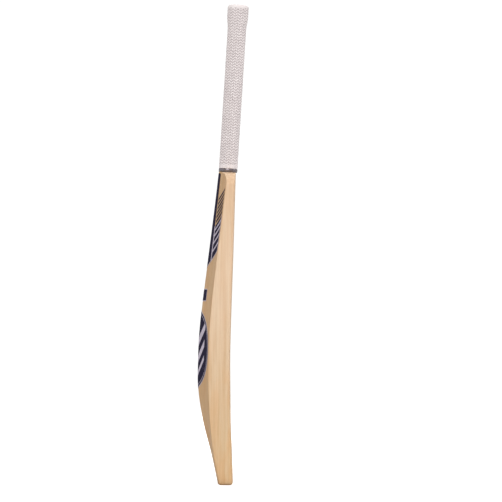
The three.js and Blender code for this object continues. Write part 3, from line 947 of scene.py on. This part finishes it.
def lay_on_back(bm):
    """Cuts the right half of a label fine enough to bend, doubles it over to the left, and lays it
    on the back of the blade as a film of its own thickness."""
    widest = max(vert.co.x for vert in bm.verts)
    lowest = min(vert.co.z for vert in bm.verts)
    highest = max(vert.co.z for vert in bm.verts)
    x = LABEL_CELL_WIDTH
    while x < widest:
        score(bm, x, 0, math.pi / 2)
        x += LABEL_CELL_WIDTH
    z = lowest + LABEL_CELL_HEIGHT
    while z < highest:
        score(bm, 0, z, 0)
        z += LABEL_CELL_HEIGHT
    bmesh.ops.mirror(bm, geom=everything(bm), axis="X", merge_dist=0.005)
    bmesh.ops.remove_doubles(bm, verts=bm.verts, dist=0.005)
    for vert in bm.verts:
        vert.co.y = back_y(abs(vert.co.x), vert.co.z) + LABEL_LIFT
    bmesh.ops.recalc_face_normals(bm, faces=bm.faces)
    if bm.faces[:][0].normal.y < 0:
        bmesh.ops.reverse_faces(bm, faces=bm.faces)
    bmesh.ops.solidify(bm, geom=bm.faces[:], thickness=LABEL_THICKNESS)
    return bm


NAVY_INK = (0.012, 0.008, 0.024, 1)
NAVY_MOTTLE = (0.020, 0.016, 0.048, 1)
SILVER_INK = (0.64, 0.57, 0.66, 1)
SILVER_MOTTLE = (0.50, 0.45, 0.53, 1)
PRINT_SCRATCH = (0.46, 0.42, 0.46, 1)


def print_material(name, main, mottled, metallic, roughness):
    made, tree, shader, place = material(name)
    marks = use_group(tree, handling, Place=place, Size=90.0)
    mottle = noise(tree, place, scale=180, detail=3, roughness=0.6)
    body = blend(tree, spread(tree, mottle, 0.35, 0.7), main, mottled)
    body = blend(tree, times(tree, marks["Scratches"], 0.22), body, PRINT_SCRATCH)
    fine = noise(tree, place, scale=1200, stretch=(1, 1, 0.05))
    feed(
        tree,
        shader,
        Base_Color=body,
        Metallic=metallic,
        Roughness=spread(tree, marks["Blotches"], 0.0, 1.0, roughness, roughness + 0.12),
        Specular_IOR_Level=0.03,
        Normal=bumped(tree, fine, strength=0.08, distance=0.0002),
    )
    return made


navy_print = print_material("navy_print", NAVY_INK, NAVY_MOTTLE, metallic=0.0, roughness=0.42)
silver_print = print_material("silver_print", SILVER_INK, SILVER_MOTTLE, metallic=0.2, roughness=0.4)

FAN_TOP = 557.5
FAN_POINT = 386
FAN_HALF_WIDTH = 50.5
FAN_ANGLE = math.radians(33)
FAN_FIRST_PITCH = 17
FAN_PITCH_RATIO = 0.875
FAN_LEAST_PITCH = 8
FAN_LAST_STRIPE = 497
FAN_NAVY_SHARE = 0.76  # of the pitch, at the lowest stripe
FAN_NAVY_FALL = 0.24  # from the lowest stripe to the last
FAN_SILVER_UPTO = 450
FAN_LINE = 1.6
FAN_NECK_HALF_WIDTH = 12
FAN_NECK_DROP = 28
STEM_GAP = 3.6
STEM_TOP_HALF_WIDTH = 15.5
STEM_FLARE = 0.02


def fan_stripes():
    """Where each navy stripe of the fan meets the spine: its lower and its upper height."""
    stripes, low, pitch = [], FAN_POINT + FAN_LINE, FAN_FIRST_PITCH
    while low < FAN_LAST_STRIPE:
        share = FAN_NAVY_SHARE - FAN_NAVY_FALL * (low - FAN_POINT) / (FAN_LAST_STRIPE - FAN_POINT)
        stripes.append((low, low + share * pitch))
        low += pitch
        pitch = max(pitch * FAN_PITCH_RATIO, FAN_LEAST_PITCH)
    return stripes


def print_fan():
    rise = math.tan(FAN_ANGLE)
    bm = flat_label(
        [
            (0, FAN_POINT),
            (FAN_HALF_WIDTH, FAN_POINT + FAN_HALF_WIDTH * rise),
            (FAN_HALF_WIDTH, FAN_TOP - FAN_NECK_DROP),
            (FAN_NECK_HALF_WIDTH, FAN_TOP),
            (0, FAN_TOP),
        ]
    )
    stripes = fan_stripes()

    def stem(z):
        return STEM_TOP_HALF_WIDTH + (FAN_TOP - z) * STEM_FLARE

    def ink_at(x, z):
        spine = z - x * rise
        between = SILVER if spine < FAN_SILVER_UPTO else BARE
        if spine < FAN_POINT + FAN_LINE:
            return SILVER
        if x < stem(z):
            return NAVY
        if x < stem(z) + STEM_GAP or x > FAN_HALF_WIDTH - FAN_LINE:
            return between
        return NAVY if any(low < spine < high for low, high in stripes) else between

    for low, high in stripes:
        score(bm, 0, low, FAN_ANGLE)
        score(bm, 0, high, FAN_ANGLE)
    score(bm, 0, FAN_SILVER_UPTO, FAN_ANGLE)
    lean = math.pi / 2 + math.atan(STEM_FLARE)
    score(bm, stem(FAN_TOP), FAN_TOP, lean)
    score(bm, stem(FAN_TOP) + STEM_GAP, FAN_TOP, lean)
    score(bm, FAN_HALF_WIDTH - FAN_LINE, 0, math.pi / 2)
    ink_plain(bm, ink_at)
    return lay_on_back(bm)


BAR_TOP = 350
BAR_HEIGHT = 22
BAR_HALF_WIDTH = 21
BAR_BORDER = 1.2


def print_bar():
    half, low = BAR_HALF_WIDTH, BAR_TOP - BAR_HEIGHT
    bm = flat_label([(-half, low), (half, low), (half, BAR_TOP), (-half, BAR_TOP)])
    border(bm, BAR_BORDER, SILVER)
    keep_right_half(bm)
    ink_plain(bm, lambda x, z: NAVY)
    return lay_on_back(bm)


LEAF_BOTTOM = 171
LEAF_LENGTH = 140.5
LEAF_BELLY = 50.5
LEAF_STEPS = 26
LEAF_BORDERS = ((1.4, SILVER), (3.4, NAVY), (0.9, SILVER))
LEAF_BARS = ((-52, 9), (-28, 13), (2, 16))  # foot from the middle, and height, on the spine
LEAF_BAR_ANGLE = math.radians(48)
LEAF_BAR_HALF_WIDTH = 30


def leaf_outline():
    """Two arcs that meet in a point at the top and at the bottom."""
    half = LEAF_LENGTH / 2
    radius = (half * half + LEAF_BELLY * LEAF_BELLY) / (2 * LEAF_BELLY)
    opening = math.asin(half / radius)
    right = []
    for i in range(1, LEAF_STEPS):
        turn = opening * (2 * i / LEAF_STEPS - 1)
        x = radius * math.cos(turn) - (radius - LEAF_BELLY)
        right.append((x, LEAF_BOTTOM + half + radius * math.sin(turn)))
    left = [(-x, z) for x, z in reversed(right)]
    return [(0, LEAF_BOTTOM)] + right + [(0, LEAF_BOTTOM + LEAF_LENGTH)] + left


def print_leaf():
    middle = LEAF_BOTTOM + LEAF_LENGTH / 2
    rise = math.tan(LEAF_BAR_ANGLE)
    bm = flat_label(leaf_outline())
    for width, line_ink in LEAF_BORDERS:
        border(bm, width, line_ink)
    keep_right_half(bm)

    def ink_at(x, z):
        spine = z - middle - x * rise
        struck = any(low < spine < low + height for low, height in LEAF_BARS)
        return SILVER if struck and x < LEAF_BAR_HALF_WIDTH else NAVY

    for low, height in LEAF_BARS:
        score(bm, 0, middle + low, LEAF_BAR_ANGLE)
        score(bm, 0, middle + low + height, LEAF_BAR_ANGLE)
    score(bm, LEAF_BAR_HALF_WIDTH, 0, math.pi / 2)
    ink_plain(bm, ink_at)
    return lay_on_back(bm)


for name, make, node in (
    ("fan_label", print_fan, "label_chevron"),
    ("bar_label", print_bar, "label_bar"),
    ("leaf_label", print_leaf, "label_leaf"),
):
    label = piece_from(make(), name, navy_print, silver_print)
    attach(label, "root")
    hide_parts(node)

# ---- Studio ----
# A plain pale floor that runs out to a white surround, with soft lamps above and beside the bat.

FLOOR_RADIUS = 14000
FLOOR_DROP = 0.2
FLOOR_GLOW = 0.7
SURROUND_LIGHT = 0.45
SURROUND_SEEN = 1.05
LAMP_AIM = Vector((0, 0, 0.42))


def seen_by_camera(tree, otherwise, seen):
    """One strength for what the camera sees directly, and another for the light that is given."""
    camera_ray = tree.nodes.new("ShaderNodeLightPath").outputs["Is Camera Ray"]
    return spread(tree, camera_ray, 0.0, 1.0, otherwise, seen)


def floor_material():
    made, tree, shader, _ = material("studio_floor")
    feed(
        tree,
        shader,
        Base_Color=(0.8, 0.8, 0.8, 1),
        Roughness=0.9,
        Specular_IOR_Level=0.0,
        Emission_Color=(1, 1, 1, 1),
        Emission_Strength=seen_by_camera(tree, 0.0, FLOOR_GLOW),
    )
    return made


def lay_floor():
    bm = bmesh.new()
    bmesh.ops.create_circle(bm, cap_ends=True, segments=96, radius=FLOOR_RADIUS)
    bmesh.ops.translate(bm, vec=(0, 0, -FLOOR_DROP), verts=bm.verts)
    return bm


floor = piece_from(lay_floor(), "floor", floor_material())

world = bpy.data.worlds.new("studio")
bpy.context.scene.world = world
world.use_nodes = True
surround = world.node_tree.nodes["Background"].inputs
strength = seen_by_camera(world.node_tree, SURROUND_LIGHT, SURROUND_SEEN)
fill(world.node_tree, surround, {"Color": (1, 1, 1, 1), "Strength": strength})


def lamp(name, place, power, size):
    light = bpy.data.lights.new(name, "AREA")
    light.shape, light.size, light.energy = "DISK", size, power
    holder = bpy.data.objects.new(name, light)
    holder.location = place
    holder.rotation_mode = "QUATERNION"
    holder.rotation_quaternion = (LAMP_AIM - Vector(place)).to_track_quat("-Z", "Y")
    holder.visible_camera = False
    bpy.context.scene.collection.objects.link(holder)


lamp("key", place=(-3.5, 0.25, 1.25), power=41, size=1.4)
lamp("far_side", place=(3.3, -0.2, 1.7), power=46, size=1.6)
lamp("face_fill", place=(-0.2, -3.2, 1.9), power=24, size=1.6)
lamp("back_fill", place=(0.8, 3.2, 1.9), power=12, size=1.6)
lamp("top", place=(-0.6, 0, 3.0), power=25, size=1.8)

# The camera stands level with the middle of the bat and looks at its edge, with the playing face
# to the right, and is rolled half a degree. Its sizes are in metres.
CAMERA_DISTANCE = 8
CAMERA_ASIDE = -0.0425
CAMERA_HEIGHT = 0.4185
CAMERA_ROLL = math.radians(0.495)
PICTURE_WIDTH = 0.9008
SENSOR_WIDTH = 36
right = Vector((0, -math.cos(CAMERA_ROLL), math.sin(CAMERA_ROLL)))
up = Vector((0, math.sin(CAMERA_ROLL), math.cos(CAMERA_ROLL)))
turned = Matrix((right, up, Vector((-1, 0, 0)))).transposed().to_4x4()
camera = bpy.data.objects.new("camera", bpy.data.cameras.new("camera"))
camera.data.sensor_width = SENSOR_WIDTH
camera.data.lens = SENSOR_WIDTH * CAMERA_DISTANCE / PICTURE_WIDTH
camera.data.clip_end = 60
camera.matrix_world = Matrix.Translation((-CAMERA_DISTANCE, CAMERA_ASIDE, CAMERA_HEIGHT)) @ turned
bpy.context.scene.collection.objects.link(camera)
bpy.context.scene.camera = camera
bpy.context.scene.view_settings.view_transform = "Standard"
